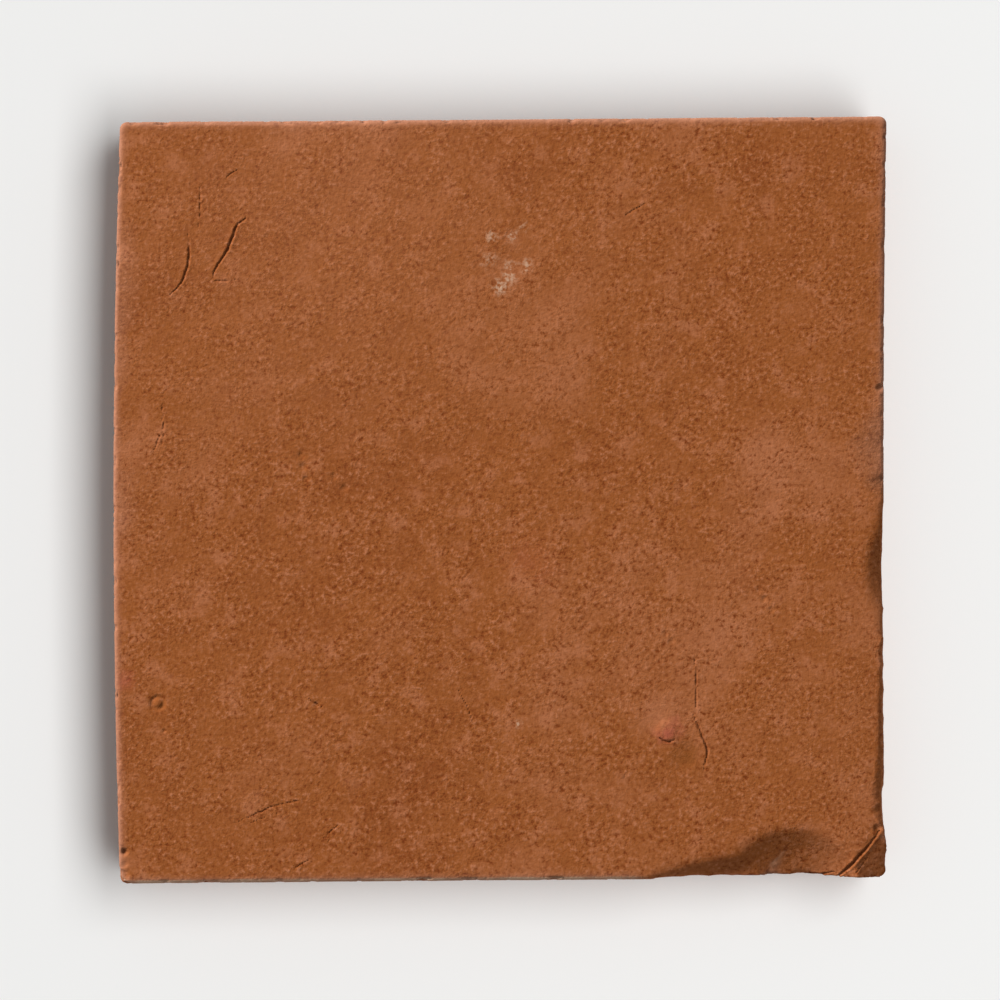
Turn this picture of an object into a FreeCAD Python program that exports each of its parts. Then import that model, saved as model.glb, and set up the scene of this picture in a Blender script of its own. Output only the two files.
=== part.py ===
import FreeCAD, Part
import math
import os
import Sketcher
from FreeCAD import Placement, Rotation, Vector

# Terracotta floor tile.
# One slab of clay, pressed into a wooden frame, struck off level, lifted out by hand while it was
# still soft, and fired. It is never quite square, and the hands that carried it left their marks.
#
# Frame: the origin is at the middle of the bed face, X runs across the tile, Y along it,
# and +Z points up to the worn face. Lengths are in millimetres and angles in degrees.
# The face is measured to its sharp edges, before they are rounded.
SIZES = {
    # the slab
    "face_width": 201.5,
    "face_length": 200.0,
    "thickness": 20.0,
    "undercut_angle": 5.0,
    # how far the outline strays from a true square
    "left_bow": 1.7,
    "right_hollow": 0.8,
    "top_fall": 1.5,
    "bottom_rise": 1.6,
    # the hollow left across the face by the striking board, which bends down between the frame's walls
    "strike_dip": 0.6,
    "frame_wall": 15.0,
    # rounded edges
    "corner_radius": 2.2,
    "arris_radius": 1.4,
    "bed_radius": 0.8,
    # the lower right corner, which dropped when the tile was set down
    "drop_along_side": 15.0,
    "drop_along_edge": 14.0,
    "drop_depth": 3.4,
    # the hold on the lower edge, which pulled the side in a little
    "hold_from_side": 30.0,
    "hold_length": 46.0,
    "hold_pull": 0.6,
    # the thumb that lay along the lower edge
    "thumb_length": 60.0,
    "thumb_width": 15.0,
    "thumb_height": 15.0,
    "thumb_turn": 12.0,
    "thumb_sink": 4.3,
    "thumb_from_side": 46.0,
    "thumb_off_edge": 1.8,
    # the heel of the same hand, which dug in deeper towards the corner
    "heel_length": 56.0,
    "heel_width": 52.0,
    "heel_height": 29.0,
    "heel_dip": 16.0,
    "heel_sink": 6.0,
    "heel_from_side": 21.5,
    "heel_off_edge": 6.6,
    # the finger that pressed into the right edge
    "finger_length": 40.0,
    "finger_width": 22.0,
    "finger_height": 18.0,
    "finger_sink": 3.5,
    "finger_from_corner": 80.0,
    "finger_off_edge": 4.0,
}

doc = FreeCAD.newDocument("TerracottaFloorTile")
sheet = doc.addObject("Spreadsheet::Sheet", "Sizes")
for row, (alias, value) in enumerate(SIZES.items(), start=1):
    sheet.set(f"A{row}", alias)
    sheet.set(f"B{row}", str(value))
    sheet.setAlias(f"B{row}", alias)
doc.recompute()

body = doc.addObject("PartDesign::Body", "Tile")
body.Label = "floor_tile"
plane = {feature.Role: feature for feature in body.Origin.OriginFeatures}
START, END = range(1, 3)
ORIGIN = (-1, START)


def new_sketch(name, role):
    """Start a sketch on one of the body's origin planes."""
    sketch = body.newObject("Sketcher::SketchObject", name)
    sketch.AttachmentSupport = [(plane[role], "")]
    sketch.MapMode = "FlatFace"
    return sketch


def dimension(sketch, name, constraint, expression):
    """Add a named dimension that follows the sheet."""
    index = sketch.addConstraint(constraint)
    sketch.renameConstraint(index, name)
    sketch.setExpression(f"Constraints.{name}", expression)


def end_at(sketch, edge, point):
    """Say which end of a sketch edge lies at a point, because an arc always runs anticlockwise."""
    to_start = (sketch.getPoint(edge, START) - point).Length
    to_end = (sketch.getPoint(edge, END) - point).Length
    return START if to_start < to_end else END


def close_ring(sketch, edges, points):
    """Join the edges of a ring end to end: point number i is where edge i begins."""
    for before, after, point in zip(edges[-1:] + edges[:-1], edges, points):
        ends = (before, end_at(sketch, before, point), after, end_at(sketch, after, point))
        sketch.addConstraint(Sketcher.Constraint("Coincident", *ends))


def fix_point(sketch, name, edge, point, across, up):
    """Dimension one end of an edge from the sketch's origin."""
    end = end_at(sketch, edge, point)
    for way, expression, distance in (("X", across, point.x), ("Y", up, point.y)):
        constraint = Sketcher.Constraint(f"Distance{way}", *ORIGIN, edge, end, distance)
        dimension(sketch, f"{name}_{way.lower()}", constraint, expression)


def add_feature(kind, name, **settings):
    """Add a feature to the body, set it up and compute it."""
    made = body.newObject(f"PartDesign::{kind}", name)
    for setting, value in settings.items():
        setattr(made, setting, value)
    doc.recompute()
    return made


def tie(made, expressions):
    """Bind properties of a feature or sketch to the sheet."""
    for path, expression in expressions.items():
        made.setExpression(path, expression)
    doc.recompute()


def faces_of(made, wanted):
    """Names of the faces of a feature that pass a test."""
    return [f"Face{i}" for i, face in enumerate(made.Shape.Faces, start=1) if wanted(face)]


def edges_of(made, wanted):
    """Names of the edges of a feature that pass a test."""
    return [f"Edge{i}" for i, edge in enumerate(made.Shape.Edges, start=1) if wanted(edge)]


def round_edges(name, made, wanted, radius):
    """Round the edges of a feature that pass a test, with a radius from the sheet."""
    rounded = body.newObject("PartDesign::Fillet", name)
    rounded.Base = (made, edges_of(made, wanted))
    tie(rounded, {"Radius": radius})
    return rounded


# Places that several features share, as expressions of the sheet.
LEFT_X = "-Sizes.face_width / 2 + Sizes.left_bow"
RIGHT_X = "Sizes.face_width / 2"
BOTTOM_Y = "-Sizes.face_length / 2"
TOP_Y = "Sizes.face_length / 2"
CORNER_Y = f"{BOTTOM_Y} + Sizes.bottom_rise"
ABOVE = "2 * Sizes.thickness"

half_width = SIZES["face_width"] / 2
half_length = SIZES["face_length"] / 2
thickness = SIZES["thickness"]
half_height = thickness / 2
above = 2 * thickness


def is_upright(member):
    """Whether a face or edge runs from the bed to the face."""
    return member.BoundBox.ZLength > half_height


def is_high(member):
    """Whether a face or edge lies wholly near the worn face."""
    return member.BoundBox.ZMin > half_height


def is_low(member):
    """Whether a face or edge lies wholly near the bed."""
    return member.BoundBox.ZMax < half_height


# The slab: its outline is drawn at the height of the face and padded down to the bed.
lower_left = Vector(-half_width + SIZES["left_bow"], -half_length)
lower_right = Vector(half_width, -half_length + SIZES["bottom_rise"])
upper_right = Vector(half_width, half_length)
upper_left = Vector(-half_width + SIZES["left_bow"], half_length - SIZES["top_fall"])


def bowed(start, end, shift):
    """An arc whose middle is shifted sideways from the middle of its chord."""
    middle = (start + end) * 0.5 + Vector(shift, 0)
    return Part.Arc(start, middle, end)


outline = new_sketch("Outline", "XY_Plane")
tie(outline, {"AttachmentOffset.Base.z": "Sizes.thickness"})
bottom_edge = outline.addGeometry(Part.LineSegment(lower_left, lower_right))
right_edge = outline.addGeometry(bowed(lower_right, upper_right, -SIZES["right_hollow"]))
top_edge = outline.addGeometry(Part.LineSegment(upper_right, upper_left))
left_edge = outline.addGeometry(bowed(upper_left, lower_left, -SIZES["left_bow"]))
outline_corners = [lower_left, lower_right, upper_right, upper_left]
close_ring(outline, [bottom_edge, right_edge, top_edge, left_edge], outline_corners)
fix_point(outline, "lower_left", bottom_edge, lower_left, LEFT_X, BOTTOM_Y)
fix_point(outline, "lower_right", bottom_edge, lower_right, RIGHT_X, CORNER_Y)
fix_point(outline, "upper_right", top_edge, upper_right, RIGHT_X, TOP_Y)
fix_point(outline, "upper_left", top_edge, upper_left, LEFT_X, f"{TOP_Y} - Sizes.top_fall")
for name, edge, chord, sag in (
    ("right_arc", right_edge, "Sizes.face_length - Sizes.bottom_rise", "Sizes.right_hollow"),
    ("left_arc", left_edge, "Sizes.face_length - Sizes.top_fall", "Sizes.left_bow"),
):
    radius = Sketcher.Constraint("Radius", edge, outline.Geometry[edge].Radius)
    dimension(outline, name, radius, f"({chord})^2 / (8 * {sag}) + {sag} / 2")
slab = add_feature("Pad", "Slab", Profile=outline, Reversed=True)
tie(slab, {"Length": "Sizes.thickness"})

# The frame's walls lean inwards on the way down, so the bed is smaller than the face.
sides = add_feature(
    "Draft",
    "Sides",
    Base=(slab, faces_of(slab, is_upright)),
    NeutralPlane=(slab, faces_of(slab, is_high)),
    Reversed=True,
)
tie(sides, {"Angle": "Sizes.undercut_angle"})


# The pulled-in side: where a hand took hold, a wide round hollow follows the lean of the side.
def edge_datum(name, across, along, facing):
    """A plane at face height, at a place on the edge, whose X points off the tile."""
    datum = body.newObject("PartDesign::Plane", name)
    datum.AttachmentSupport = [(plane["XY_Plane"], "")]
    datum.MapMode = "FlatFace"
    tie(
        datum,
        {
            "AttachmentOffset.Base.x": across,
            "AttachmentOffset.Base.y": along,
            "AttachmentOffset.Base.z": "Sizes.thickness",
            "AttachmentOffset.Rotation.Angle": facing,
        },
    )
    return datum


def edge_pull(name, datum, pull, length):
    """Hollow the side with a leaning cylinder, as deep as the pull at the middle of its length."""
    radius = f"({length}^2 / (8 * {pull}) + {pull} / 2)"
    below = f"(2 * Sizes.thickness + {radius} * sin(Sizes.undercut_angle))"
    outside = f"({radius} - {pull}) / cos(Sizes.undercut_angle)"
    hollow = add_feature("SubtractiveCylinder", name)
    hollow.AttachmentSupport = [(datum, "")]
    hollow.MapMode = "FlatFace"
    hollow.AttachmentOffset = Placement(Vector(), Rotation(Vector(0, 1, 0), 1))
    tie(
        hollow,
        {
            "Radius": radius,
            "Height": f"2 * {below}",
            "AttachmentOffset.Base.x": f"{outside} - {below} * sin(Sizes.undercut_angle)",
            "AttachmentOffset.Base.z": f"-{below} * cos(Sizes.undercut_angle)",
            "AttachmentOffset.Rotation.Angle": "Sizes.undercut_angle",
        },
    )
    return hollow


def lower_edge_datum(name, from_side):
    """A plane on the lower edge, which rises from left to right, at a distance from the right side."""
    fall = f"Sizes.bottom_rise * {from_side} / (Sizes.face_width - Sizes.left_bow)"
    return edge_datum(name, f"{RIGHT_X} - {from_side}", f"{CORNER_Y} - {fall}", "270")


hold_edge = lower_edge_datum("HoldEdge", "Sizes.hold_from_side")
hold = edge_pull("Hold", hold_edge, "Sizes.hold_pull", "Sizes.hold_length")


def is_corner(edge):
    """Whether an upright edge stands under a corner of the outline."""
    lean = thickness * math.tan(math.radians(SIZES["undercut_angle"]))
    places = [Vector(corner.x, corner.y, edge.CenterOfMass.z) for corner in outline_corners]
    gaps = [(edge.CenterOfMass - place).Length for place in places]
    return is_upright(edge) and min(gaps) < lean


round_edges("Corners", hold, is_corner, "Sizes.corner_radius")

# The struck face: a very flat arc across the tile, level with the slab at the frame's outer edges.
dip = SIZES["strike_dip"]
past_side = half_width + SIZES["frame_wall"]
strike_left = Vector(-past_side, thickness)
strike_low = Vector(0, thickness - dip)
strike_right = Vector(past_side, thickness)
above_right = Vector(past_side, above)
above_left = Vector(-past_side, above)
strike = new_sketch("StrikeLine", "XZ_Plane")
struck_arc = strike.addGeometry(Part.Arc(strike_left, strike_low, strike_right))
right_wall = strike.addGeometry(Part.LineSegment(strike_right, above_right))
ceiling = strike.addGeometry(Part.LineSegment(above_right, above_left))
left_wall = strike.addGeometry(Part.LineSegment(above_left, strike_left))
close_ring(
    strike,
    [struck_arc, right_wall, ceiling, left_wall],
    [strike_left, strike_right, above_right, above_left],
)
PAST_SIDE = "(Sizes.face_width / 2 + Sizes.frame_wall)"
strike_radius = Sketcher.Constraint("Radius", struck_arc, strike.Geometry[struck_arc].Radius)
STRIKE_RADIUS = f"{PAST_SIDE}^2 / (2 * Sizes.strike_dip) + Sizes.strike_dip / 2"
dimension(strike, "strike_radius", strike_radius, STRIKE_RADIUS)
fix_point(strike, "strike_left", left_wall, strike_left, f"-{PAST_SIDE}", "Sizes.thickness")
fix_point(strike, "strike_right", right_wall, strike_right, PAST_SIDE, "Sizes.thickness")
fix_point(strike, "above_right", ceiling, above_right, PAST_SIDE, ABOVE)
fix_point(strike, "above_left", ceiling, above_left, f"-{PAST_SIDE}", ABOVE)
struck = add_feature("Pocket", "Struck", Profile=strike, Type="ThroughAll", SideType="Symmetric")

# The rounded edges, worn above and only softened below.
arris = round_edges("Arris", struck, is_high, "Sizes.arris_radius")
round_edges("BedEdge", arris, is_low, "Sizes.bed_radius")

# The dropped corner: a wedge drawn square to the line along which the corner bent,
# with its height upwards and its slope running out from the bend past the tip.
drop_side = SIZES["drop_along_side"]
drop_edge = SIZES["drop_along_edge"]
bend_to_tip = drop_side * drop_edge / math.hypot(drop_side, drop_edge)
past_tip = bend_to_tip + thickness
slope_low = thickness - SIZES["drop_depth"] * past_tip / bend_to_tip
bend = Vector(0, thickness)
slope_foot = Vector(past_tip, slope_low)
above_foot = Vector(past_tip, above)
above_bend = Vector(0, above)
wedge = new_sketch("DropProfile", "XZ_Plane")
DOWNWARDS = Vector(0, -1, 0)
wedge.AttachmentOffset = Placement(Vector(), Rotation(DOWNWARDS, 1))
tie(
    wedge,
    {
        "AttachmentOffset.Base.x": RIGHT_X,
        "AttachmentOffset.Base.z": f"-({CORNER_Y} + Sizes.drop_along_side)",
        "AttachmentOffset.Rotation.Angle": "atan(Sizes.drop_along_edge / Sizes.drop_along_side)",
    },
)
slope = wedge.addGeometry(Part.LineSegment(bend, slope_foot))
outer_wall = wedge.addGeometry(Part.LineSegment(slope_foot, above_foot))
wedge_ceiling = wedge.addGeometry(Part.LineSegment(above_foot, above_bend))
inner_wall = wedge.addGeometry(Part.LineSegment(above_bend, bend))
close_ring(
    wedge,
    [slope, outer_wall, wedge_ceiling, inner_wall],
    [bend, slope_foot, above_foot, above_bend],
)
LEGS = "Sizes.drop_along_side * Sizes.drop_along_edge"
BEND_LENGTH = "sqrt(Sizes.drop_along_side^2 + Sizes.drop_along_edge^2)"
BEND_TO_TIP = f"({LEGS} / {BEND_LENGTH})"
PAST_TIP = f"({BEND_TO_TIP} + Sizes.thickness)"
SLOPE_LOW = f"Sizes.thickness - Sizes.drop_depth * {PAST_TIP} / {BEND_TO_TIP}"
fix_point(wedge, "bend", slope, bend, "0", "Sizes.thickness")
fix_point(wedge, "slope_foot", slope, slope_foot, PAST_TIP, SLOPE_LOW)
fix_point(wedge, "above_foot", wedge_ceiling, above_foot, PAST_TIP, ABOVE)
fix_point(wedge, "above_bend", wedge_ceiling, above_bend, "0", ABOVE)
add_feature("Pocket", "DroppedCorner", Profile=wedge, Type="ThroughAll", SideType="Symmetric")


# Hand marks: each is pressed by an ellipsoid the size of a thumb, a fingertip or the heel of a hand,
# with its length along the edge. It is placed by its lowest point, which lies just off the tile.
def hand_mark(name, datum, sizes, turn="0", dip="0"):
    """Press an ellipsoid into the face, turned in plan and dipping at its far end."""
    half_long = f"({sizes}_length / 2)"
    half_high = f"({sizes}_height / 2)"
    lowest = f"sqrt(({half_long} * sin({dip}))^2 + ({half_high} * cos({dip}))^2)"
    behind = f"({half_long}^2 - {half_high}^2) * sin({dip}) * cos({dip}) / {lowest}"
    line = body.newObject("PartDesign::Plane", f"{name}Line")
    line.AttachmentSupport = [(datum, "")]
    line.MapMode = "FlatFace"
    tie(
        line,
        {
            "AttachmentOffset.Base.x": f"{sizes}_off_edge",
            "AttachmentOffset.Base.z": f"-{sizes}_sink",
            "AttachmentOffset.Rotation.Angle": turn,
        },
    )
    mark = add_feature("SubtractiveEllipsoid", name)
    mark.AttachmentSupport = [(line, "")]
    mark.MapMode = "FlatFace"
    mark.AttachmentOffset = Placement(Vector(), Rotation(Vector(-1, 0, 0), 1))
    tie(
        mark,
        {
            "Radius1": half_high,
            "Radius2": f"{sizes}_width / 2",
            "Radius3": half_long,
            "AttachmentOffset.Base.y": f"-{behind}",
            "AttachmentOffset.Base.z": lowest,
            "AttachmentOffset.Rotation.Angle": dip,
        },
    )
    return mark


thumb_edge = lower_edge_datum("ThumbEdge", "Sizes.thumb_from_side")
heel_edge = lower_edge_datum("HeelEdge", "Sizes.heel_from_side")
SIDE_X = f"{RIGHT_X} - Sizes.right_hollow"
finger_edge = edge_datum("FingerEdge", SIDE_X, f"{CORNER_Y} + Sizes.finger_from_corner", "0")
hand_mark("Thumb", thumb_edge, "Sizes.thumb", turn="Sizes.thumb_turn")
hand_mark("Heel", heel_edge, "Sizes.heel", dip="Sizes.heel_dip")
finger = hand_mark("Finger", finger_edge, "Sizes.finger")
body.Tip = finger
doc.recompute()

failed = [thing.Name for thing in doc.Objects if {"Invalid", "Error"} & set(thing.State)]
if failed:
    raise RuntimeError(f"features that failed: {failed}")
if body.Shape.isNull() or not body.Shape.isValid() or len(body.Shape.Solids) != 1:
    raise RuntimeError("the tile isn't one valid solid")
os.makedirs("parts", exist_ok=True)
body.Shape.exportStep(f"parts/{body.Label}.step")
box = body.Shape.optimalBoundingBox()
print(f"{body.Label}: {box.XLength:.2f} x {box.YLength:.2f} x {box.ZLength:.2f} mm")
print(f"{body.Label}: {body.Shape.Volume / 1000:.1f} cubic centimetres, {len(body.Shape.Faces)} faces")
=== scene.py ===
# %% [markdown]
# # A hand-made terracotta floor tile
# One slab of red clay, pressed in a wooden frame, struck off with a board, lifted out by hand and fired.
# The CAD part gives its true size, its bowed outline and the hollows that the hands left. This lesson
# gives that slab its skin: the waves, cuts and chips of worked clay, and the colour of fired earth.
# Blender works in metres, in the frame of the CAD part: X across the face, Y along it, Z up out of it.
# The marks are listed in millimetres from the middle of the tile, as they would be measured on it.

import math

import bmesh
import bpy
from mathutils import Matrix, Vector


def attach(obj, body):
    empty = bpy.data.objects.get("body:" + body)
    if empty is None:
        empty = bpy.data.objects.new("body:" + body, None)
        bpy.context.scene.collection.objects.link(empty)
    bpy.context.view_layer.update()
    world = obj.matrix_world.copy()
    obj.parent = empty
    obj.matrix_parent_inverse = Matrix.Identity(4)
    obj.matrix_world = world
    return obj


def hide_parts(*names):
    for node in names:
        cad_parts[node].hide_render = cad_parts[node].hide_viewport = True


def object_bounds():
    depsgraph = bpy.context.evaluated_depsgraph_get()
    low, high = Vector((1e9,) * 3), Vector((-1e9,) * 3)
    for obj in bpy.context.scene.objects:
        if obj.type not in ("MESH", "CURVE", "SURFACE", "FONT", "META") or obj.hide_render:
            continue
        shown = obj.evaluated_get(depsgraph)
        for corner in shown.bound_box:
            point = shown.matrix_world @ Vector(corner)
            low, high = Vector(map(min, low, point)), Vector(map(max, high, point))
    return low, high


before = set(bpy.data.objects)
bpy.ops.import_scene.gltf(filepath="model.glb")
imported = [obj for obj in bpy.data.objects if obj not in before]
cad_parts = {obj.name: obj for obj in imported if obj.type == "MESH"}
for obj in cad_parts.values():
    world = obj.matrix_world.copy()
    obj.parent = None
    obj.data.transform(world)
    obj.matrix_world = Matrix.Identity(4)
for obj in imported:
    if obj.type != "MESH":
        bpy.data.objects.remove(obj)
cad_low, cad_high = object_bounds()
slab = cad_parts["floor_tile"]
MM = 0.001
print("slab", [round(side / MM, 2) for side in cad_high - cad_low], "mm")

# %% [markdown]
# ## Small helpers for node trees
# The clay's relief and its colour are both node trees. Written out in full, a tree is long and hard to
# follow, so each helper here adds a node, fills its inputs and hands back its output in one line. Some
# nodes have a socket for each type of data, all of one name, and only one of them is switched on.

# %% Add a node
def in_use(sockets, key):
    """The socket with a number, or the one with a name that is switched on."""
    if isinstance(key, int):
        return sockets[key]
    return next(socket for socket in sockets if socket.name == key and socket.enabled)


def add_node(tree, kind, inputs=None, **settings):
    """Add a node: settings are its properties, inputs are values or other nodes' outputs."""
    made = tree.nodes.new(kind)
    for name, value in settings.items():
        setattr(made, name, value)
    for key, value in (inputs or {}).items():
        socket = in_use(made.inputs, key)
        if isinstance(value, bpy.types.NodeSocket):
            tree.links.new(value, socket)
        else:
            socket.default_value = value
    return made


# %% Arithmetic and noise in one line
def calc(tree, operation, *terms):
    """One step of arithmetic on single values."""
    return add_node(tree, "ShaderNodeMath", dict(enumerate(terms)), operation=operation).outputs[0]


def product(tree, *terms):
    """Multiply values: a mask of 0 to 1 fades what it is multiplied with."""
    result = terms[0]
    for term in terms[1:]:
        result = calc(tree, "MULTIPLY", result, term)
    return result


def vector_calc(tree, operation, first, second):
    """One step of arithmetic on places and directions, such as a sum, a scaling or a distance."""
    other = "Scale" if operation == "SCALE" else 1
    made = add_node(tree, "ShaderNodeVectorMath", {0: first, other: second}, operation=operation)
    return next(socket for socket in made.outputs if socket.enabled)


def ramp(tree, value, start, end, low=0.0, high=1.0):
    """A smooth step from low to high while value goes from start to end."""
    inputs = {"Value": value, "From Min": start, "From Max": end, "To Min": low, "To Max": high}
    return add_node(tree, "ShaderNodeMapRange", inputs, interpolation_type="SMOOTHSTEP").outputs["Result"]


def noise(tree, place, size, detail=2.0, rough=0.5):
    """A cloudy pattern from 0 to 1 whose lumps are about one size across."""
    scale = calc(tree, "DIVIDE", 1.0, size)
    inputs = {"Vector": place, "Scale": scale, "Detail": detail, "Roughness": rough}
    return add_node(tree, "ShaderNodeTexNoise", inputs).outputs[0]


# %% [markdown]
# ## Cuts and scratches
# Nails and tools left cuts in the soft clay. They could be cut out of the mesh one by one, but a cut is a
# line whose width swells and dies away, which is just what a curve with a radius at each point is. So the
# cuts are drawn as curves. They are never shown: the relief further down only asks how far
# each point of the clay is from the nearest one.

# %% Draw the cuts as curves
CUTS = {
    # half width, then the route
    "first_nail_cut": (0.43, [(-80.9, 69.0), (-80.6, 64.5), (-81.1, 60.3), (-82.7, 55.8), (-85.6, 53.4)]),
    "second_nail_cut": (
        0.47,
        [
            (-65.9, 73.2), (-68.3, 71.6), (-69.0, 69.3), (-70.6, 65.0),
            (-72.7, 61.9), (-74.4, 59.0), (-74.5, 57.6),
        ],
    ),
    "second_cut_foot": (0.32, [(-74.2, 57.0), (-71.5, 56.6), (-68.0, 57.4)]),
    "small_nick": (0.40, [(-70.9, 83.9), (-69.8, 84.7), (-68.4, 85.6)]),
    "faint_nail_line": (0.30, [(-78.0, 82.4), (-77.7, 76.0), (-78.2, 69.8)]),
    "bend_crack": (
        0.60,
        [
            (87.6, -98.2), (89.6, -96.4), (91.0, -95.2), (92.8, -93.0),
            (94.8, -90.8), (97.0, -88.3), (98.6, -85.8),
        ],
    ),
    "second_bend_crack": (0.35, [(92.4, -97.2), (93.6, -95.0), (95.4, -93.0)]),
    "fold_lip": (0.45, [(78.5, -97.2), (81.5, -97.0), (84.0, -97.6), (87.2, -96.6)]),
    "grit_crack": (0.40, [(49.9, -55.1), (52.1, -60.3), (54.0, -64.6), (53.6, -67.5), (52.8, -70.4)]),
    "grit_rim": (0.46, [(41.2, -61.6), (42.4, -62.7), (43.8, -62.9), (45.4, -62.2)]),
    "streak_above_grit": (0.34, [(50.6, -41.3), (51.3, -48.0), (50.8, -54.0)]),
    "long_scratch": (0.28, [(-69.0, -83.9), (-62.1, -81.0), (-57.9, -78.9), (-48.9, -77.6)]),
    "short_scratch": (0.26, [(-66.0, -84.2), (-61.0, -82.4), (-56.6, -80.9)]),
    "lower_slash": (0.36, [(-45.6, -87.8), (-43.8, -86.0), (-42.0, -84.4)]),
    "lower_slash_twin": (0.30, [(-44.8, -89.0), (-42.8, -87.0)]),
    "edge_slash": (0.34, [(-53.4, -95.6), (-51.8, -94.6), (-49.8, -93.6)]),
    "hair_line": (0.30, [(-10.8, -49.4), (-8.6, -53.2), (-7.0, -57.6)]),
    "gouge": (0.36, [(32.4, 73.9), (34.6, 75.2), (37.6, 76.9)]),
    "side_streak": (0.34, [(-87.8, 25.6), (-87.2, 20.0), (-87.6, 12.6)]),
    "side_tick": (0.36, [(-90.0, 12.6), (-89.0, 14.6), (-88.2, 17.4)]),
    "tool_dent": (0.40, [(-49.8, -51.4), (-48.0, -53.0), (-46.2, -53.8)]),
}
END_WIDTH = 0.5
EARLY_SWELL = 0.8
CURVE_ORDER = 3


def taper(share):
    """A cut's width at a share of its length: half at both ends, full a little before the middle."""
    return END_WIDTH + (1 - END_WIDTH) * math.sin(math.pi * share ** EARLY_SWELL)


def draw_cuts():
    """One curve object with a spline for each cut, its radius set along its length."""
    data = bpy.data.curves.new("cut_lines", "CURVE")
    data.dimensions = "3D"
    for half_width, route in CUTS.values():
        spline = data.splines.new("NURBS")
        spline.points.add(len(route) - 1)
        for number, (point, (x, y)) in enumerate(zip(spline.points, route)):
            point.co = (x * MM, y * MM, cad_high.z, 1.0)
            point.radius = half_width * MM * taper(number / (len(route) - 1))
        spline.order_u = CURVE_ORDER
        spline.use_endpoint_u = True
    made = bpy.data.objects.new("cut_lines", data)
    bpy.context.scene.collection.objects.link(made)
    return made


cut_lines = draw_cuts()
print("cuts", len(CUTS))

# %% [markdown]
# ## Pits, chips and grit
# Grains of sand fall out and leave pits, a knock takes a chip off an arris, and one bit of grit pushed the
# clay up into a small lump. These are round, so a point is enough for each: how far it reaches and how
# high it stands. A chip sits right on the edge, where the same round bite takes the corner off.

# %% List the pits, chips and lumps
RING_MIDDLE = (-88.9, -52.7)
BUMPS = [
    # across, along, reach, height: below 0 it is a pit or a chip
    # the lump of grit and the dip beside it
    (43.2, -60.0, 3.6, 0.50),
    (47.9, -66.3, 5.0, -0.22),
    # pits of lost grains
    (67.0, -23.4, 1.0, -0.20),
    (68.6, -25.6, 1.2, -0.24),
    (70.4, -28.4, 1.0, -0.20),
    (42.8, -34.6, 1.0, -0.18),
    (44.6, -36.6, 1.1, -0.20),
    (-51.6, 11.6, 1.2, -0.25),
    (-51.0, 8.6, 1.4, -0.30),
    (-50.4, 5.6, 1.2, -0.25),
    (-43.0, 6.2, 1.1, -0.22),
    (-40.4, 3.2, 1.4, -0.26),
    (-87.2, -59.9, 0.8, -0.25),
    (-47.6, -52.8, 1.3, -0.22),
    (-60.4, 68.4, 1.0, -0.15),
    # chips in the left, right and upper arrises
    (-97.6, -91.3, 1.3, -1.00),
    (-97.6, -94.6, 1.3, -0.35),
    (-98.0, -97.4, 2.2, -0.60),
    (98.2, -85.4, 1.7, -0.70),
    (98.6, 29.1, 1.4, -0.60),
    (18.6, 98.6, 1.3, -0.60),
    (-30.0, 98.4, 1.2, -0.40),
    # the dip under the lime scuffs
    (2.7, 61.7, 6.0, -0.12),
    # the stub left standing inside the ring pit
    (*RING_MIDDLE, 0.9, 0.15),
]
print("pits, chips and lumps", len(BUMPS))

# %% [markdown]
# One pit is a ring, as a hollow stalk pressed into wet clay would leave. A torus could be cut out of the
# clay, but a circle of small pits that run into each other gives the same groove with no new tool.

# %% Add the ring pit
RING_RADIUS, RING_STEPS = 1.6, 20
RING_REACH, RING_HEIGHT = 0.7, -0.30
for step in range(RING_STEPS):
    angle = 2 * math.pi * step / RING_STEPS
    across = RING_MIDDLE[0] + RING_RADIUS * math.cos(angle)
    along = RING_MIDDLE[1] + RING_RADIUS * math.sin(angle)
    BUMPS.append((across, along, RING_REACH, RING_HEIGHT))
print("ring of", RING_STEPS, "pits")

# %% [markdown]
# A hand or a board that slides along leaves a furrow, and the right edge was rolled over by one. A row of
# points close together makes a furrow too, if reach and height change evenly from one end to the other.

# %% Add the furrows and the rolled edge
TRAILS = [
    # reach and height at the start, the same at the end, then both places
    ((1.2, -0.03), (1.0, -0.05), [(23.0, 79.2), (35.2, 81.2)]),
    ((1.0, -0.05), (1.3, -0.03), [(35.2, 81.2), (54.5, 85.4)]),
    ((1.6, -0.15), (2.6, -0.55), [(100.3, -28.0), (100.3, -66.0)]),
    ((2.6, -0.55), (5.0, -0.95), [(100.3, -66.0), (100.1, -81.0)]),
    ((5.0, -0.95), (3.0, -0.30), [(100.1, -81.0), (100.1, -86.0)]),
]
TRAIL_STEP = 0.5
for first, last, (start, end) in TRAILS:
    steps = round(math.dist(start, end) / TRAIL_STEP)
    for step in range(steps + 1):
        share = step / steps
        values = zip((*start, *first), (*end, *last))
        BUMPS.append(tuple(a + (b - a) * share for a, b in values))


def place_points(name, rows, *columns):
    """A mesh of loose points over the face, which carry their other columns as attributes."""
    data = bpy.data.meshes.new(name)
    data.from_pydata([(row[0] * MM, row[1] * MM, cad_high.z) for row in rows], [], [])
    for number, column in enumerate(columns, start=2):
        values = data.attributes.new(column, "FLOAT", "POINT")
        values.data.foreach_set("value", [row[number] * MM for row in rows])
    made = bpy.data.objects.new(name, data)
    bpy.context.scene.collection.objects.link(made)
    return made


bump_points = place_points("bump_points", BUMPS, "reach", "height")
print("bump points in all", len(BUMPS))

# %% [markdown]
# ## Soft rims
# Skin closes over wet clay and leaves no sharp rim. The CAD part has the hollows of thumb, hand and finger
# at their true size, but their rims are knife sharp. A bevel would round every edge alike, so points along
# the rims say where the relief is to blur the slab's own shape, before anything else happens to it.

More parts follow.
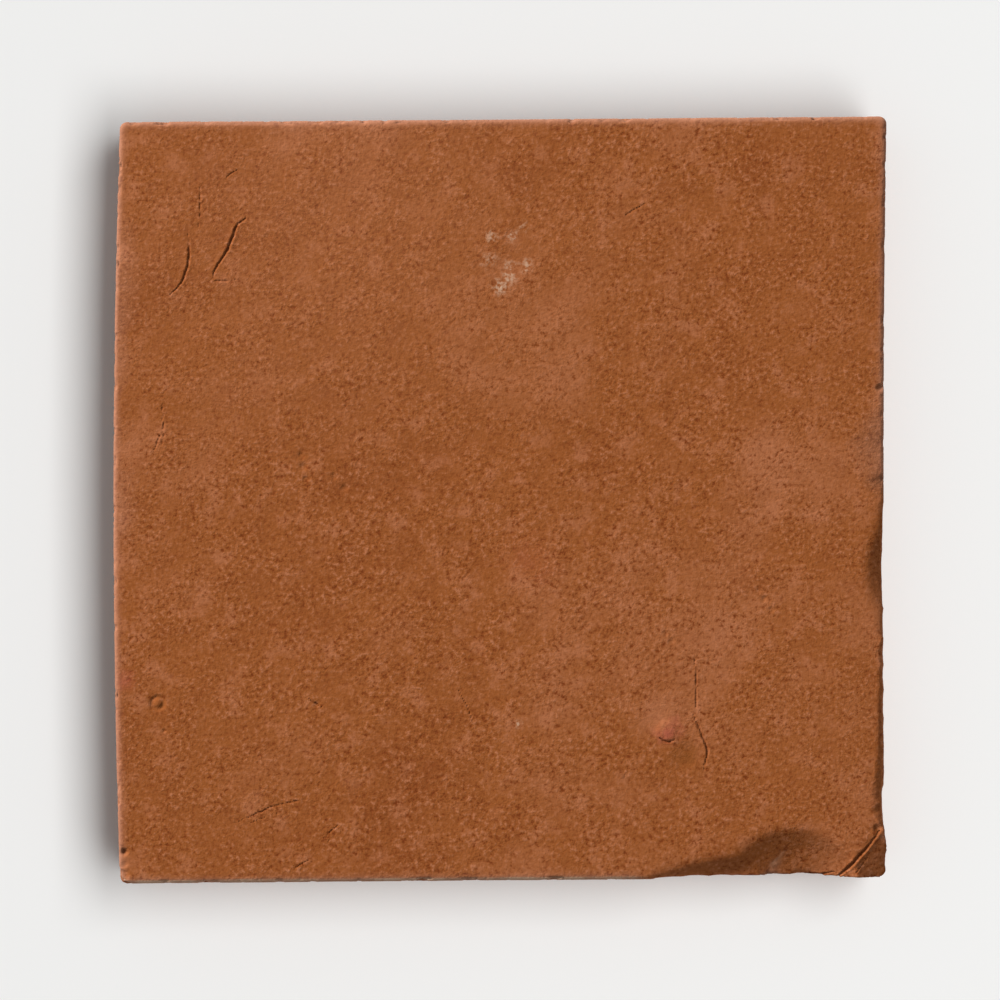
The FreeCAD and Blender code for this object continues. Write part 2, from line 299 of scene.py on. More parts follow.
# %% Place the points where a hand softened the clay
SOFTENED = [
    # across, along, reach
    # beside the thumb
    (44.0, -97.0, 5.0),
    (50.0, -95.5, 6.0),
    (57.0, -93.5, 6.5),
    (63.0, -90.0, 7.0),
    # the heel of the hand
    (69.0, -86.0, 10.0),
    (76.5, -85.0, 11.0),
    (83.5, -87.0, 9.0),
    (80.0, -95.0, 5.0),
    # the dropped corner
    (88.0, -93.0, 5.0),
    (97.0, -94.0, 4.5),
    # the finger
    (97.5, -5.0, 5.0),
    (96.0, -10.0, 6.0),
    (96.0, -17.0, 7.0),
    (96.0, -25.0, 7.0),
    (97.5, -32.0, 5.0),
    # the rolled edge
    (99.5, -40.0, 3.0),
    (99.5, -46.0, 3.5),
    (99.5, -53.0, 4.0),
    (99.5, -60.0, 4.0),
    (99.5, -67.0, 4.5),
    (99.5, -74.0, 5.0),
    (99.0, -80.0, 5.0),
]
soft_points = place_points("soft_points", SOFTENED, "reach")
print("softened places", len(SOFTENED))

# %% [markdown]
# ## Fired clay
# Fired clay is dull and never one colour. The kiln leaves paler and darker clouds, the sand in the clay
# makes a fine speckle, and rubbed edges are pinker, with a painted highlight spread along them. An image
# would fix all that at one size, so the colour is mixed from patterns on Object coordinates instead, and it
# fits the tile from every side.
# Stains and scuffs are all soft spots, so one shader group makes the mask of any of them.

# %% A soft spot, used wherever the clay is stained or scuffed
RAGGED_RIM = 3 * MM
# a ramp's start, end, low and high
SPOT_FADE = (0.3, 1.3, 1.0, 0.0)


def make_soft_spot():
    """A shader group: about 1 at the middle of a spot, fading to 0 at its reach, with a ragged rim."""
    tree = bpy.data.node_groups.new("soft_spot", "ShaderNodeTree")
    sockets = (("Place", "NodeSocketVector"), ("Middle", "NodeSocketVector"), ("Reach", "NodeSocketFloat"))
    for name, kind in sockets:
        tree.interface.new_socket(name, in_out="INPUT", socket_type=kind)
    tree.interface.new_socket("Mask", in_out="OUTPUT", socket_type="NodeSocketFloat")
    given = add_node(tree, "NodeGroupInput").outputs
    away = vector_calc(tree, "DISTANCE", given["Place"], given["Middle"])
    ragged = product(tree, noise(tree, given["Place"], RAGGED_RIM), given["Reach"])
    share = calc(tree, "DIVIDE", calc(tree, "ADD", away, ragged), given["Reach"])
    add_node(tree, "NodeGroupOutput", {"Mask": ramp(tree, share, *SPOT_FADE)})
    return tree


soft_spot = make_soft_spot()
print("shader group", soft_spot.name, len(soft_spot.nodes), "nodes")

# %% [markdown]
# ## Clouds, mottle and sand
# In the kiln the clay turns paler or darker in clouds a few fingers wide, with a mottle the size of a pea
# over them. Its sand shows as grains of about a millimetre, more in some patches than in others. Each is
# a noise of its own size. Where it is high it tints the clay pale, and where it is low, dark.

# %% Colours of the clay
CLAY = (0.302, 0.0878, 0.0188, 1.0)
PALE_CLAY = (0.440, 0.157, 0.068, 1.0)
# the darkest clay, also used as painted shade in the cuts
DARK_CLAY_AND_CUT_SHADE = (0.185, 0.038, 0.005, 1.0)
# size, detail and roughness of each pattern
CLOUDS = (40 * MM, 3.0, 0.55)
MOTTLE = (6 * MM, 3.0, 0.6)
PATCHES = (9 * MM, 2.0, 0.5)
GRAINS = (1.1 * MM, 2.0, 0.6)
# the ramps by which they tint the clay
CLOUD_PALE, CLOUD_DARK = (0.5, 0.8, 0.0, 0.66), (0.5, 0.2, 0.0, 0.46)
MOTTLE_PALE, MOTTLE_DARK = (0.5, 0.75, 0.0, 0.6), (0.5, 0.25, 0.0, 0.25)
GRAIN_PALE, GRAIN_DARK = (0.0, 0.28), (0.0, -0.25)
# the ramp from patches with little sand to sandy ones
SANDINESS = (0.36, 0.58, 0.75, 1.12)


def tint(tree, base, colour, amount):
    """Lay one colour over another by a mask."""
    inputs = {"Factor": amount, "A": base, "B": colour}
    return in_use(add_node(tree, "ShaderNodeMix", inputs, data_type="RGBA").outputs, "Result")


def sand_grains(tree, place):
    """How sandy each patch is, and its grains: above 0 a pale one, below 0 a dark one."""
    sandy = ramp(tree, noise(tree, place, *PATCHES), *SANDINESS)
    grain = calc(tree, "SUBTRACT", noise(tree, place, *GRAINS), 0.5)
    return sandy, product(tree, grain, sandy)


def kiln_colour(tree, clouds, mottle, grain):
    """The clay with its clouds, its mottle and its grains of sand."""
    tints = (
        (clouds, PALE_CLAY, CLOUD_PALE),
        (clouds, DARK_CLAY_AND_CUT_SHADE, CLOUD_DARK),
        (mottle, PALE_CLAY, MOTTLE_PALE),
        (mottle, DARK_CLAY_AND_CUT_SHADE, MOTTLE_DARK),
        (grain, DARK_CLAY_AND_CUT_SHADE, GRAIN_DARK),
        (grain, PALE_CLAY, GRAIN_PALE),
    )
    colour = CLAY
    for pattern, shade, fade in tints:
        colour = tint(tree, colour, shade, ramp(tree, pattern, *fade))
    return colour


print("clay from", DARK_CLAY_AND_CUT_SHADE[:3], "to", PALE_CLAY[:3])

# %% [markdown]
# ## Stains and scuffs
# Some places are stained red or brown, others are rubbed pale, and lime left a few scuffs, which caught on
# the raised grains only. They could be painted by hand, but a list of spots can be read and changed. A
# stain is a soft spot in its colour, and a scuff is a soft spot that is multiplied with the grains.

# %% List the stains and the scuffs
RED_CLAY = (0.430, 0.105, 0.058, 1.0)
BROWN_CLAY = (0.235, 0.068, 0.012, 1.0)
# pale lime for the scuffs, also used for the painted highlight along the lower arris
LIME_AND_HIGHLIGHT = (0.640, 0.450, 0.310, 1.0)
STAINS = [
    # middle, reach, colour, strength
    ((-45.0, 75.0), 110.0, PALE_CLAY, 0.22),
    ((2.0, 36.0), 80.0, CLAY, 0.30),
    # a pale spot up and to the left of the lump
    ((40.1, -57.0), 10.0, PALE_CLAY, 0.55),
    ((43.4, -60.6), 6.6, RED_CLAY, 0.95),
    ((47.7, -65.8), 8.5, BROWN_CLAY, 0.95),
    ((7.4, -16.0), 14.0, RED_CLAY, 0.18),
    ((3.2, 67.5), 5.0, PALE_CLAY, 0.45),
    ((1.6, 60.0), 8.0, PALE_CLAY, 0.35),
    ((-64.0, -78.5), 7.0, PALE_CLAY, 0.35),
    ((-38.7, -73.4), 5.0, PALE_CLAY, 0.35),
    ((-20.3, -53.2), 3.0, PALE_CLAY, 0.5),
    ((-71.8, 56.8), 3.5, PALE_CLAY, 0.6),
    ((-97.5, -47.0), 5.0, RED_CLAY, 0.5),
    ((-97.0, -94.0), 5.0, PALE_CLAY, 0.5),
    ((96.5, -76.0), 7.0, PALE_CLAY, 0.35),
]
SCUFFS = [
    # middle, reach, strength
    ((0.2, 55.6), 4.6, 0.85),
    ((2.2, 58.4), 3.8, 0.75),
    ((3.0, 61.0), 3.4, 0.50),
    ((7.0, 60.8), 3.4, 0.70),
    ((-2.2, 68.2), 3.0, 0.55),
    ((3.2, 68.4), 3.0, 0.55),
    ((-2.6, 62.6), 4.0, 0.40),
    ((6.0, 71.0), 3.0, 0.35),
    ((4.9, -58.5), 2.2, 1.0),
]
print("stains", len(STAINS), "and scuffs", len(SCUFFS))

# %% Lay the stains and the scuffs on the clay
# the ramp from sunken grains to raised ones
RAISED = (-0.06, 0.10)


def spot_mask(tree, place, middle, reach, strength):
    """How strongly one soft spot on the face shows."""
    inputs = {"Place": place, "Middle": (middle[0] * MM, middle[1] * MM, cad_high.z), "Reach": reach * MM}
    spot = add_node(tree, "ShaderNodeGroup", inputs, node_tree=soft_spot)
    return product(tree, spot.outputs["Mask"], strength)


def stain_clay(tree, colour, place, grain):
    """The stains, then the lime on the raised grains."""
    for middle, reach, stain, strength in STAINS:
        colour = tint(tree, colour, stain, spot_mask(tree, place, middle, reach, strength))
    raised = ramp(tree, grain, *RAISED)
    for middle, reach, strength in SCUFFS:
        rubbed = product(tree, spot_mask(tree, place, middle, reach, strength), raised)
        colour = tint(tree, colour, LIME_AND_HIGHLIGHT, rubbed)
    return colour


# %% [markdown]
# ## Wear, painted highlights, painted shade and the material
# Arrises are rubbed to a paler pink, and a painted highlight spreads from them on to the face. A painted
# highlight also runs along the lower arris, and the cuts get painted shade. The relief further down knows
# where these are, and stores them as attributes of the mesh, which the material reads. The sand is too
# fine to model, so a Bump node gives it, and it also deepens the cuts a little.

# %% The fired clay material
# rubbed arrises: wear, and a painted highlight spread along them
RUBBED_CLAY_AND_HIGHLIGHT = (0.425, 0.200, 0.128, 1.0)
# how strongly the rubbed arrises with their painted highlight show, and the painted shade in the cuts
WORN_AND_HIGHLIGHT_SHOWS, CUT_SHADE_SHOWS = 0.85, 0.65
# ramps of the mottle: where the painted highlight on the lower arris shows, and how rough the clay is
HIGHLIGHT_PATCHES, DULLNESS = (0.35, 0.6, 0.25, 0.65), (0.3, 0.7, 0.82, 0.95)
SAND = (0.7 * MM, 3.0, 0.65)
SAND_DEPTH = 0.15 * MM
# a cut's height in the bump, in depths of sand
CUT_HEIGHT = -1.5
SHEEN = 0.15


def mark(tree, name):
    """A mask that the worked mesh carries."""
    return add_node(tree, "ShaderNodeAttribute", attribute_name=name).outputs["Fac"]


def wear_and_painted_light(tree, colour, mottle, cut):
    """Rubbed arrises with a painted highlight, a painted highlight along the lower one, and painted shade
    in the cuts.
    """
    # rubbed arrises, with a painted highlight spread from them on to the face
    colour = tint(tree, colour, RUBBED_CLAY_AND_HIGHLIGHT, product(tree, mark(tree, "worn"), WORN_AND_HIGHLIGHT_SHOWS))
    # a painted highlight along the lower arris, broken up by the mottle
    patchy = ramp(tree, mottle, *HIGHLIGHT_PATCHES)
    colour = tint(tree, colour, LIME_AND_HIGHLIGHT, product(tree, mark(tree, "limed"), patchy))
    # painted shade in the cuts
    return tint(tree, colour, DARK_CLAY_AND_CUT_SHADE, product(tree, cut, CUT_SHADE_SHOWS))


def sand_normal(tree, place, sandy, grain, cut):
    """The direction that the sanded surface faces at each point."""
    sand = product(tree, noise(tree, place, *SAND), sandy)
    height = calc(tree, "MULTIPLY_ADD", cut, CUT_HEIGHT, calc(tree, "ADD", sand, grain))
    inputs = {"Strength": 1.0, "Distance": SAND_DEPTH, "Height": height}
    return add_node(tree, "ShaderNodeBump", inputs).outputs["Normal"]


def fire_clay():
    """The tile's one material."""
    made = bpy.data.materials.new("fired_clay")
    made.use_nodes = True
    tree = made.node_tree
    tree.nodes.clear()
    place = add_node(tree, "ShaderNodeTexCoord").outputs["Object"]
    mottle = noise(tree, place, *MOTTLE)
    sandy, grain = sand_grains(tree, place)
    cut = mark(tree, "cut")
    colour = kiln_colour(tree, noise(tree, place, *CLOUDS), mottle, grain)
    colour = stain_clay(tree, colour, place, grain)
    inputs = {
        "Base Color": wear_and_painted_light(tree, colour, mottle, cut),
        "Specular IOR Level": SHEEN,
        "Roughness": ramp(tree, mottle, *DULLNESS),
        "Normal": sand_normal(tree, place, sandy, grain, cut),
    }
    shader = add_node(tree, "ShaderNodeBsdfPrincipled", inputs)
    add_node(tree, "ShaderNodeOutputMaterial", {"Surface": shader.outputs["BSDF"]})
    return made


fired_clay = fire_clay()
print("material", fired_clay.name, len(fired_clay.node_tree.nodes), "nodes")

# %% [markdown]
# ## The worked surface
# Clay that has been pressed, struck and carried is never flat. It could be sculpted by hand, but the
# relief follows a rule at every point, so it is a Geometry Nodes tree: waves over the face, ragged arrises,
# drag lines down the sides, and the cuts and bumps from above. Their sum moves each point along its
# normal. Each part of the sum is a short function that hands back a height. The tree's inputs are named,
# so that another tile can be worked by other sizes.

# %% The sizes that the tree is given
RELIEF_INPUTS = {
    "Wave height": 0.20 * MM,
    "Wave size": 70 * MM,
    "Lump height": 0.10 * MM,
    "Lump size": 18 * MM,
    "Ripple height": 0.05 * MM,
    "Ripple size": 4 * MM,
    "Ragged height": 0.9 * MM,
    "Ragged size": 4 * MM,
    "Drag height": 0.50 * MM,
    "Drag size": 3.5 * MM,
    "Jitter reach": 0.30 * MM,
    "Jitter size": 1.6 * MM,
    "Rim reach": 0.50 * MM,
    "Rim size": 1.2 * MM,
    "Cut spacing": 0.2 * MM,
}


def start_tree():
    """An empty tree with its named inputs and its output."""
    tree = bpy.data.node_groups.new("worked_clay", "GeometryNodeTree")
    kinds = {"Clay": "Geometry", **dict.fromkeys(RELIEF_INPUTS, "Float")}
    kinds.update(dict.fromkeys(("Cuts", "Bumps", "Softened"), "Object"))
    kinds.update(dict.fromkeys(("Low corner", "High corner"), "Vector"))
    kinds["Finish"] = "Material"
    for name, kind in kinds.items():
        tree.interface.new_socket(name, in_out="INPUT", socket_type=f"NodeSocket{kind}")
    tree.interface.new_socket("Worked", in_out="OUTPUT", socket_type="NodeSocketGeometry")
    return tree, add_node(tree, "NodeGroupInput").outputs


print("relief sizes", len(RELIEF_INPUTS))

# %% [markdown]
# ## Waves, ragged arrises and drag lines
# A board struck the face and left slow waves, lumps and ripples. The arrises crumbled as the tile was
# carried. The wooden frame was pulled up off the sides and dragged lines up them: that is noise which is
# stretched along Z. The normal's Z tells where a point is: 1 on the face, about 0 on a side, and between
# the two on an arris.

# %% Heights from noise
# ramps of the normal's Z: on to the face, and on to the sides
FACE, SIDE = (0.3, 0.9), (0.5, 0.2)
# detail and roughness of torn clay, and the ramp of it that crumbled
TORN, CRUMBLED = (3.0, 0.6), (0.52, 0.75)
DRAG_STRETCH = 0.15


def split(tree, vector):
    """The three parts of a vector."""
    return add_node(tree, "ShaderNodeSeparateXYZ", {0: vector}).outputs


def swing(tree, place, size, height):
    """Noise that swings evenly below and above nothing."""
    centred = calc(tree, "SUBTRACT", noise(tree, place, size), 0.5)
    return product(tree, centred, product(tree, height, 2.0))


def total(tree, *heights):
    """Add heights up."""
    result = heights[0]
    for height in heights[1:]:
        result = calc(tree, "ADD", result, height)
    return result


def face_waves(tree, given, place, facing):
    """Waves, lumps and ripples of the struck face."""
    kinds = ("Wave", "Lump", "Ripple")
    heights = [swing(tree, place, given[f"{kind} size"], given[f"{kind} height"]) for kind in kinds]
    return product(tree, total(tree, *heights), ramp(tree, facing, *FACE))


def ragged_arrises(tree, given, place, on_arris):
    """What crumbled off the arrises."""
    chips = ramp(tree, noise(tree, place, given["Ragged size"], *TORN), *CRUMBLED)
    return product(tree, chips, on_arris, given["Ragged height"])


def drag_lines(tree, given, place, facing):
    """What the frame dragged off the sides."""
    parts = split(tree, place)
    inputs = {"X": parts["X"], "Y": parts["Y"], "Z": product(tree, parts["Z"], DRAG_STRETCH)}
    upright = add_node(tree, "ShaderNodeCombineXYZ", inputs).outputs[0]
    on_side = ramp(tree, calc(tree, "ABSOLUTE", facing), *SIDE)
    return product(tree, noise(tree, upright, given["Drag size"], *TORN), on_side, given["Drag height"])


# %% [markdown]
# ## How near is the nearest mark?
# The marks were placed above the face. A ray cast straight down drops each of them on to the clay, also
# into a hollow or on to an arris. After that, every point of the clay looks up the nearest mark, how far
# away it is, and what it carries. That takes hardly longer for hundreds of marks than for one.

# %% Look up the nearest mark
DROP_FROM, DROP_LENGTH = 10 * MM, 1.0


def object_shape(tree, source):
    """The geometry of an object that the tree is given."""
    return add_node(tree, "GeometryNodeObjectInfo", {"Object": source}).outputs["Geometry"]


def move_to(tree, shape, place):
    """Geometry with its points at other places."""
    inputs = {"Geometry": shape, "Position": place}
    return add_node(tree, "GeometryNodeSetPosition", inputs).outputs["Geometry"]


def drape(tree, points, clay):
    """Drop points straight down on to the clay, where there is clay below them."""
    place = add_node(tree, "GeometryNodeInputPosition").outputs[0]
    inputs = {"Target Geometry": clay, "Ray Direction": (0, 0, -1), "Ray Length": DROP_LENGTH}
    inputs["Source Position"] = vector_calc(tree, "ADD", place, (0, 0, DROP_FROM))
    ray = add_node(tree, "GeometryNodeRaycast", inputs).outputs
    inputs = {"Geometry": points, "Selection": ray["Is Hit"], "Position": ray["Hit Position"]}
    return add_node(tree, "GeometryNodeSetPosition", inputs).outputs["Geometry"]


def named(tree, name):
    """A number that points carry."""
    inputs = {"Name": name}
    made = add_node(tree, "GeometryNodeInputNamedAttribute", inputs, data_type="FLOAT")
    return in_use(made.outputs, "Attribute")


def nearest(tree, points, place, **fields):
    """The distance to the nearest of some points, and what that point carries."""
    inputs = {"Geometry": points, "Sample Position": place}
    index = add_node(tree, "GeometryNodeSampleNearest", inputs).outputs["Index"]

    def carried(kind, field):
        """What the nearest point has of one field."""
        inputs = {"Geometry": points, "Index": index, "Value": field}
        return in_use(add_node(tree, "GeometryNodeSampleIndex", inputs, data_type=kind).outputs, "Value")

    there = carried("FLOAT_VECTOR", add_node(tree, "GeometryNodeInputPosition").outputs[0])
    away = vector_calc(tree, "DISTANCE", there, place)
    return away, {name: carried("FLOAT", field) for name, field in fields.items()}


# %% [markdown]
# ## Softening, cuts and bumps
# Softening mixes each point's place with its neighbours', fully near the middle of a soft point and not at
# all at its reach. A cut is a groove with a low lip on both sides, where the clay was pushed up, and noise
# shakes the places it is looked up at, so that it tears rather than slices. A bump's rim is ragged too.

# %% Soften the rims
SOFT_STEPS = 50
# ramps of the distance to a soft point, as a share of its reach
SOFT_FADE, UNTOUCHED = (0.5, 1.0, 1.0, 0.0), (1.2, 2.0)


def spread(tree, kind, field, steps, weight=1.0):
    """What each point carries, mixed with its neighbours a number of times."""
    inputs = {"Value": field, "Iterations": steps, "Weight": weight}
    return in_use(add_node(tree, "GeometryNodeBlurAttribute", inputs, data_type=kind).outputs, "Value")


def soften_rims(tree, given, clay, place):
    """The clay with its rims blurred, and a mask of where no hand has been."""
    points = drape(tree, object_shape(tree, given["Softened"]), clay)
    away, spot = nearest(tree, points, place, reach=named(tree, "reach"))
    share = calc(tree, "DIVIDE", away, spot["reach"])
    softness = ramp(tree, share, *SOFT_FADE)
    blurred = spread(tree, "FLOAT_VECTOR", place, SOFT_STEPS, softness)
    return move_to(tree, clay, blurred), ramp(tree, share, *UNTOUCHED)


# %% Heights from the cuts and the bumps
CUT_STEEPNESS = 1.1
LIP_SHARE = 0.32
# ramps of the distance to a cut, as a share of its half width
GROOVE, LIP_RISE, LIP_FALL = (0.0, 1.0, 1.0, 0.0), (0.6, 1.1), (2.0, 1.2)
# the ramp of the distance to a bump, as a share of its reach
BUMP_FADE = (0.2, 1.0, 1.0, 0.0)


def jitter(tree, place, size, reach):
    """Places shaken by noise, so that what is looked up there comes out ragged."""
    scale = calc(tree, "DIVIDE", 1.0, size)
    shake = add_node(tree, "ShaderNodeTexNoise", {"Vector": place, "Scale": scale}).outputs["Color"]
    centred = vector_calc(tree, "SUBTRACT", shake, (0.5, 0.5, 0.5))
    return vector_calc(tree, "ADD", place, vector_calc(tree, "SCALE", centred, product(tree, reach, 2.0)))


def cut_relief(tree, given, clay, place):
    """How high the clay stands at the cuts, and a mask of their grooves."""
    inputs = {"Curve": object_shape(tree, given["Cuts"]), "Length": given["Cut spacing"]}
    lines = add_node(tree, "GeometryNodeResampleCurve", inputs, mode="LENGTH").outputs["Curve"]
    dots = add_node(tree, "GeometryNodeCurveToPoints", {"Curve": lines}, mode="EVALUATED").outputs["Points"]
    shaky = jitter(tree, place, given["Jitter size"], given["Jitter reach"])
    radius = add_node(tree, "GeometryNodeInputRadius").outputs[0]
    away, cut = nearest(tree, drape(tree, dots, clay), shaky, width=radius)
    share = calc(tree, "DIVIDE", away, cut["width"])
    groove = ramp(tree, share, *GROOVE)
    lip = product(tree, ramp(tree, share, *LIP_RISE), ramp(tree, share, *LIP_FALL))
    shape = calc(tree, "SUBTRACT", product(tree, lip, LIP_SHARE), groove)
    return product(tree, shape, product(tree, cut["width"], CUT_STEEPNESS)), groove


def bump_relief(tree, given, clay, place):
    """How high the clay stands at the pits, chips and lumps."""
    points = drape(tree, object_shape(tree, given["Bumps"]), clay)
    away, bump = nearest(tree, points, place, reach=named(tree, "reach"), height=named(tree, "height"))
    rim = swing(tree, place, given["Rim size"], given["Rim reach"])
    share = calc(tree, "DIVIDE", calc(tree, "ADD", away, rim), bump["reach"])
    return product(tree, ramp(tree, share, *BUMP_FADE), bump["height"])


# %% [markdown]
# ## The whole tree
# Now the heights are added up. Nothing may stand out of the slab's own box, because the CAD part gives the
# tile's true size, so the moved points are held between its two corners. The masks for the material are
# stored on the mesh, and the tree ends by making everything real and giving it its finish.

# %% Put the tree together
# how far the rubbed arrises and their painted highlight spread on to the face
WORN_AND_HIGHLIGHT_STEPS = 14
# ramps of the normal's Z: up from the sides on to an arris, and down again on to the face
ARRIS_RISE, ARRIS_FALL = (0.0, 0.35), (0.995, 0.9)
# ramps of the normal's Y and Z: a painted highlight goes where the lower arris looks out and up
HIGHLIGHT_OUT, HIGHLIGHT_UP = (-0.05, -0.3), (0.4, 0.8)


def move_points(tree, given, place, height):
    """Where the points go: along their normals, and no further than the slab's box."""
    normal = add_node(tree, "GeometryNodeInputNormal").outputs[0]
    moved = vector_calc(tree, "ADD", place, vector_calc(tree, "SCALE", normal, height))
    inside = vector_calc(tree, "MAXIMUM", moved, given["Low corner"])
    return vector_calc(tree, "MINIMUM", inside, given["High corner"])


def store_masks(tree, clay, **masks):
    """The clay with each mask as an attribute of its points."""
    for name, mask in masks.items():
        inputs = {"Geometry": clay, "Name": name, "Value": mask}
        clay = add_node(tree, "GeometryNodeStoreNamedAttribute", inputs, data_type="FLOAT").outputs[0]
    return clay


def build_relief():
    """The Geometry Nodes tree that works the clay."""
    tree, given = start_tree()
    place = add_node(tree, "GeometryNodeInputPosition").outputs[0]
    clay, untouched = soften_rims(tree, given, given["Clay"], place)
    turned = split(tree, add_node(tree, "GeometryNodeInputNormal").outputs[0])
    facing = turned["Z"]
    on_arris = product(tree, ramp(tree, facing, *ARRIS_RISE), ramp(tree, facing, *ARRIS_FALL), untouched)
    cut_height, groove = cut_relief(tree, given, clay, place)
    bump_height = bump_relief(tree, given, clay, place)
    height = total(tree, face_waves(tree, given, place, facing), cut_height, bump_height)
    height = calc(tree, "SUBTRACT", height, ragged_arrises(tree, given, place, on_arris))
    height = calc(tree, "SUBTRACT", height, drag_lines(tree, given, place, facing))
    # the rubbed arrises spread on to the face: wear and a painted highlight
    worn = spread(tree, "FLOAT", on_arris, WORN_AND_HIGHLIGHT_STEPS)
    # a painted highlight: a pale line along the lower arris, where it looks out and up
    looks_out = ramp(tree, turned["Y"], *HIGHLIGHT_OUT)
    limed = product(tree, on_arris, looks_out, ramp(tree, facing, *HIGHLIGHT_UP))
    clay = store_masks(tree, clay, worn=worn, limed=limed, cut=groove)
    clay = move_to(tree, clay, move_points(tree, given, place, height))
    clay = add_node(tree, "GeometryNodeRealizeInstances", {"Geometry": clay}).outputs["Geometry"]
    inputs = {"Geometry": clay, "Material": given["Finish"]}
    clay = add_node(tree, "GeometryNodeSetMaterial", inputs).outputs["Geometry"]
    add_node(tree, "NodeGroupOutput", {"Worked": clay})
    return tree


worked_clay = build_relief()
print("relief tree", len(worked_clay.nodes), "nodes")

# %% [markdown]
# ## From slab to tile
# The CAD slab is made of long thin triangles, which can't be bent. Subdividing them would keep them long
# and thin, so a merged copy is remeshed into small even squares, smoothed a little, and then worked by the
# tree. The flat bed needs few faces and the face needs many, which is what collapsing short edges gives.

# %% Copy the slab
JOIN_WITHIN = 0.001 * MM


def merged_copy(source, name):
    """A copy of the CAD mesh whose loose triangles are joined at their corners."""
    data = source.data.copy()
    shape = bmesh.new()
    shape.from_mesh(data)
    bmesh.ops.remove_doubles(shape, verts=shape.verts, dist=JOIN_WITHIN)
    shape.to_mesh(data)
    shape.free()
    made = bpy.data.objects.new(name, data)
    bpy.context.scene.collection.objects.link(made)
    return made


tile = merged_copy(slab, "floor_tile_clay")
print("merged slab", len(tile.data.vertices), "corners")

# %% Remesh the slab and work it
SQUARE = 0.35 * MM
SMOOTHINGS = 2
INSET = Vector((0.01, 0.01, 0.01)) * MM


def set_inputs(modifier, values):
    """Fill a tree's inputs by their identifiers."""
    for socket in modifier.node_group.interface.items_tree:
        if socket.in_out == "INPUT" and socket.name in values:
            modifier[socket.identifier] = values[socket.name]


def make_plain(made):
    """Turn an object and its modifiers into a plain mesh."""
    graph = bpy.context.evaluated_depsgraph_get()
    data = bpy.data.meshes.new_from_object(made.evaluated_get(graph))
    data.name = made.name
    made.data = data
    made.modifiers.clear()


def count_triangles(data):
    """How many triangles a mesh has."""
    return sum(len(polygon.vertices) - 2 for polygon in data.polygons)


squares = tile.modifiers.new("squares", "REMESH")
squares.mode = "VOXEL"
squares.voxel_size = SQUARE
smooth = tile.modifiers.new("smooth", "SMOOTH")
smooth.iterations = SMOOTHINGS
relief = tile.modifiers.new("relief", "NODES")
relief.node_group = worked_clay
marks = {"Cuts": cut_lines, "Bumps": bump_points, "Softened": soft_points}
box = {"Low corner": cad_low, "High corner": cad_high - INSET}
set_inputs(relief, {**RELIEF_INPUTS, **marks, **box, "Finish": fired_clay})
make_plain(tile)
worked_triangles = count_triangles(tile.data)
print("worked tile", worked_triangles, "triangles")

# %% Thin the mesh and hand the tile over
MOST_TRIANGLES = 190_000
thin = tile.modifiers.new("thin", "DECIMATE")
thin.ratio = min(1.0, MOST_TRIANGLES / worked_triangles)
make_plain(tile)
tile.data.shade_smooth()
for helper in marks.values():
    bpy.data.objects.remove(helper)
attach(tile, "root")
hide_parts("floor_tile")
print("finished tile", count_triangles(tile.data), "triangles")

# %% [markdown]
# ## The studio floor
# The tile lies on a plain pale floor, far wider than itself, so that no edge of the floor shows from above.
# One square face is enough for it. It belongs to the studio and not to the tile.

# %% Floor
FLOOR_HALF = 4.0
FLOOR_WHITE = (0.86, 0.86, 0.85, 1.0)
FLOOR_ROUGHNESS = 0.9


def plain_material(name, colour, roughness):
    """A plain painted surface for the studio."""
    made = bpy.data.materials.new(name)
    made.use_nodes = True
    shader = made.node_tree.nodes["Principled BSDF"]
    shader.inputs["Base Color"].default_value = colour
    shader.inputs["Roughness"].default_value = roughness
    return made


floor_mesh = bpy.data.meshes.new("studio_floor")
turns = [(-1, -1), (1, -1), (1, 1), (-1, 1)]
corners = [(x * FLOOR_HALF, y * FLOOR_HALF, cad_low.z) for x, y in turns]
floor_mesh.from_pydata(corners, [], [(0, 1, 2, 3)])
floor = bpy.data.objects.new("studio_floor", floor_mesh)
bpy.context.scene.collection.objects.link(floor)
floor_mesh.materials.append(plain_material("studio_white", FLOOR_WHITE, FLOOR_ROUGHNESS))
print("floor", 2 * FLOOR_HALF, "m across")

# %% [markdown]
# ## Lamps
# A low soft lamp from the upper left picks out the relief. The floor has a wide lamp of its own, high up
# towards the right, which throws a soft shadow to the left and a fainter one above and below the tile.
# Light linking keeps each lamp to its own surface, as a photographer would with flags, and the relief
# lamp's light isn't passed on, because the clay would throw some of it on to the floor as a pink glow.

# %% Hang the lamps
RELIEF_PLACE, RELIEF_SIDES, RELIEF_WATTS = (-3.66, 3.41, 2.43), (1.28, 1.28), 494.0
FLOOR_PLACE, FLOOR_SIDES, FLOOR_WATTS = (3.1, -0.2, 5.9), (9.5, 3.8), 492.0


def add_lamp(name, place, sides, watts):
    """A soft lamp that points at the middle of the tile."""
    data = bpy.data.lights.new(name, "AREA")
    data.shape = "RECTANGLE"
    data.size, data.size_y = sides
    data.energy = watts
    made = bpy.data.objects.new(name, data)
    made.location = place
    made.rotation_euler = (-Vector(place)).to_track_quat("-Z", "Y").to_euler()
    bpy.context.scene.collection.objects.link(made)
    return made


def shine_only_on(lamp, receiver):
    """Keep a lamp's light to one object."""
    group = bpy.data.collections.new(f"lit_by_{lamp.name}")
    group.objects.link(receiver)
    lamp.light_linking.receiver_collection = group


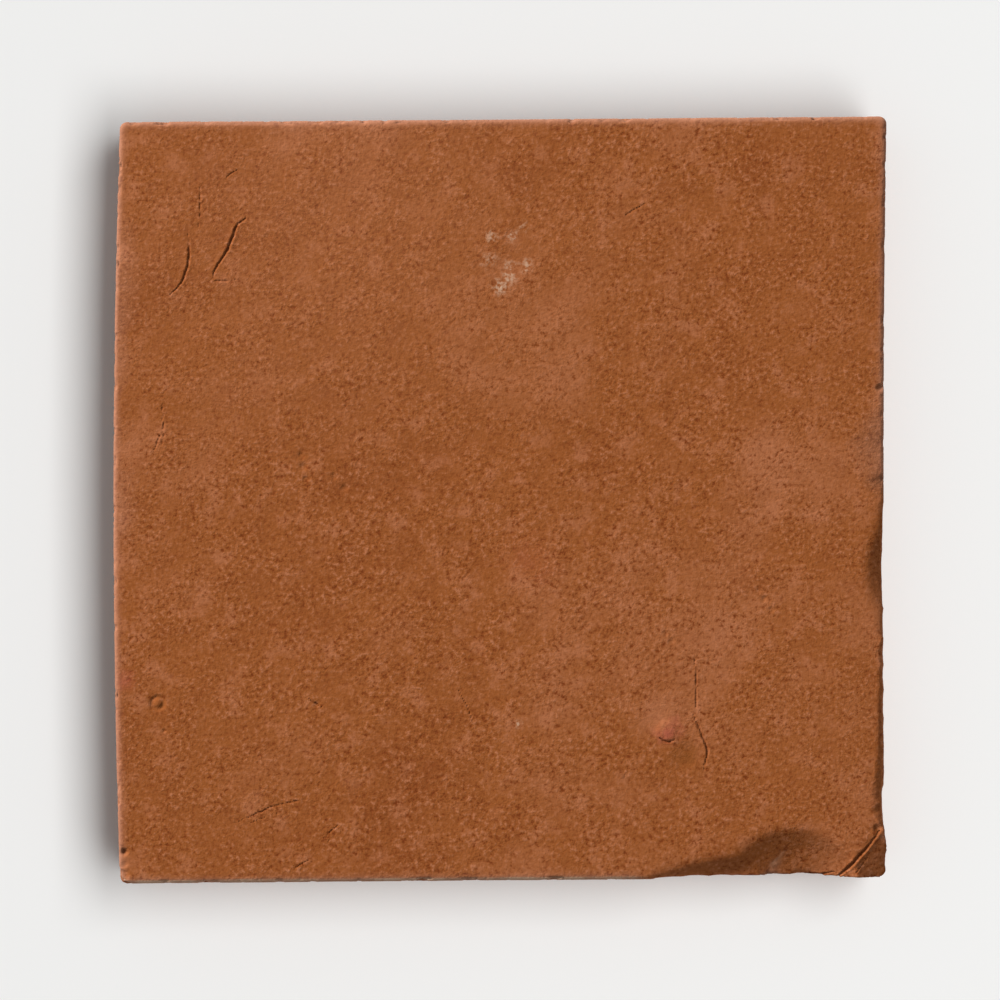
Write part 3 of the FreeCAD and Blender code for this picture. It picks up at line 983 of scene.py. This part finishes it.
relief_lamp = add_lamp("relief_lamp", RELIEF_PLACE, RELIEF_SIDES, RELIEF_WATTS)
relief_lamp.data.cycles.max_bounces = 0
shine_only_on(relief_lamp, tile)
floor_lamp = add_lamp("floor_lamp", FLOOR_PLACE, FLOOR_SIDES, FLOOR_WATTS)
shine_only_on(floor_lamp, floor)
print("lamps", relief_lamp.name, "and", floor_lamp.name)

# %% [markdown]
# ## Sky
# A white room fills the shadows a little. As a light it has to be dim, or the relief would drown in it,
# but past the floor's edge it should look as pale as the floor. The Light Path node tells the two apart.

# %% Paint the sky: dim as a light, pale as a backdrop
SKY_LIGHT, BACKDROP = 0.28, 0.84


def paint_sky():
    """A white world that is brighter to look at, straight or mirrored, than it shines."""
    made = bpy.data.worlds.new("studio_sky")
    made.use_nodes = True
    tree = made.node_tree
    ray = add_node(tree, "ShaderNodeLightPath").outputs
    seen = calc(tree, "MAXIMUM", ray["Is Camera Ray"], ray["Is Glossy Ray"])
    seen = calc(tree, "MAXIMUM", seen, ray["Is Transmission Ray"])
    background = tree.nodes["Background"]
    background.inputs["Color"].default_value = (1.0, 1.0, 1.0, 1.0)
    strength = calc(tree, "MULTIPLY_ADD", seen, BACKDROP - SKY_LIGHT, SKY_LIGHT)
    tree.links.new(strength, background.inputs["Strength"])
    return made


bpy.context.scene.world = paint_sky()
bpy.context.scene.view_settings.view_transform = "Standard"
print("sky", SKY_LIGHT, "as a light,", BACKDROP, "as a backdrop")

# %% [markdown]
# ## Camera
# The camera looks straight down on the middle of the tile. From close by, the face's edge would hide the
# shadow beside the tile, so the camera stands far off behind a long lens. Its height follows from the
# lens and from the share of the picture that the tile fills.

# %% Set up the camera
FILL = 0.775
LENS, SENSOR = 200.0, 36.0
camera_data = bpy.data.cameras.new("overhead")
camera_data.lens = LENS
camera_data.sensor_width = SENSOR
camera = bpy.data.objects.new("overhead", camera_data)
width = (cad_high.x - cad_low.x) / FILL
middle = (cad_low + cad_high) / 2
camera.location = (middle.x, middle.y, cad_high.z + width * LENS / SENSOR)
bpy.context.scene.collection.objects.link(camera)
bpy.context.scene.camera = camera
print("camera", round(camera.location.z, 3), "m above the floor")
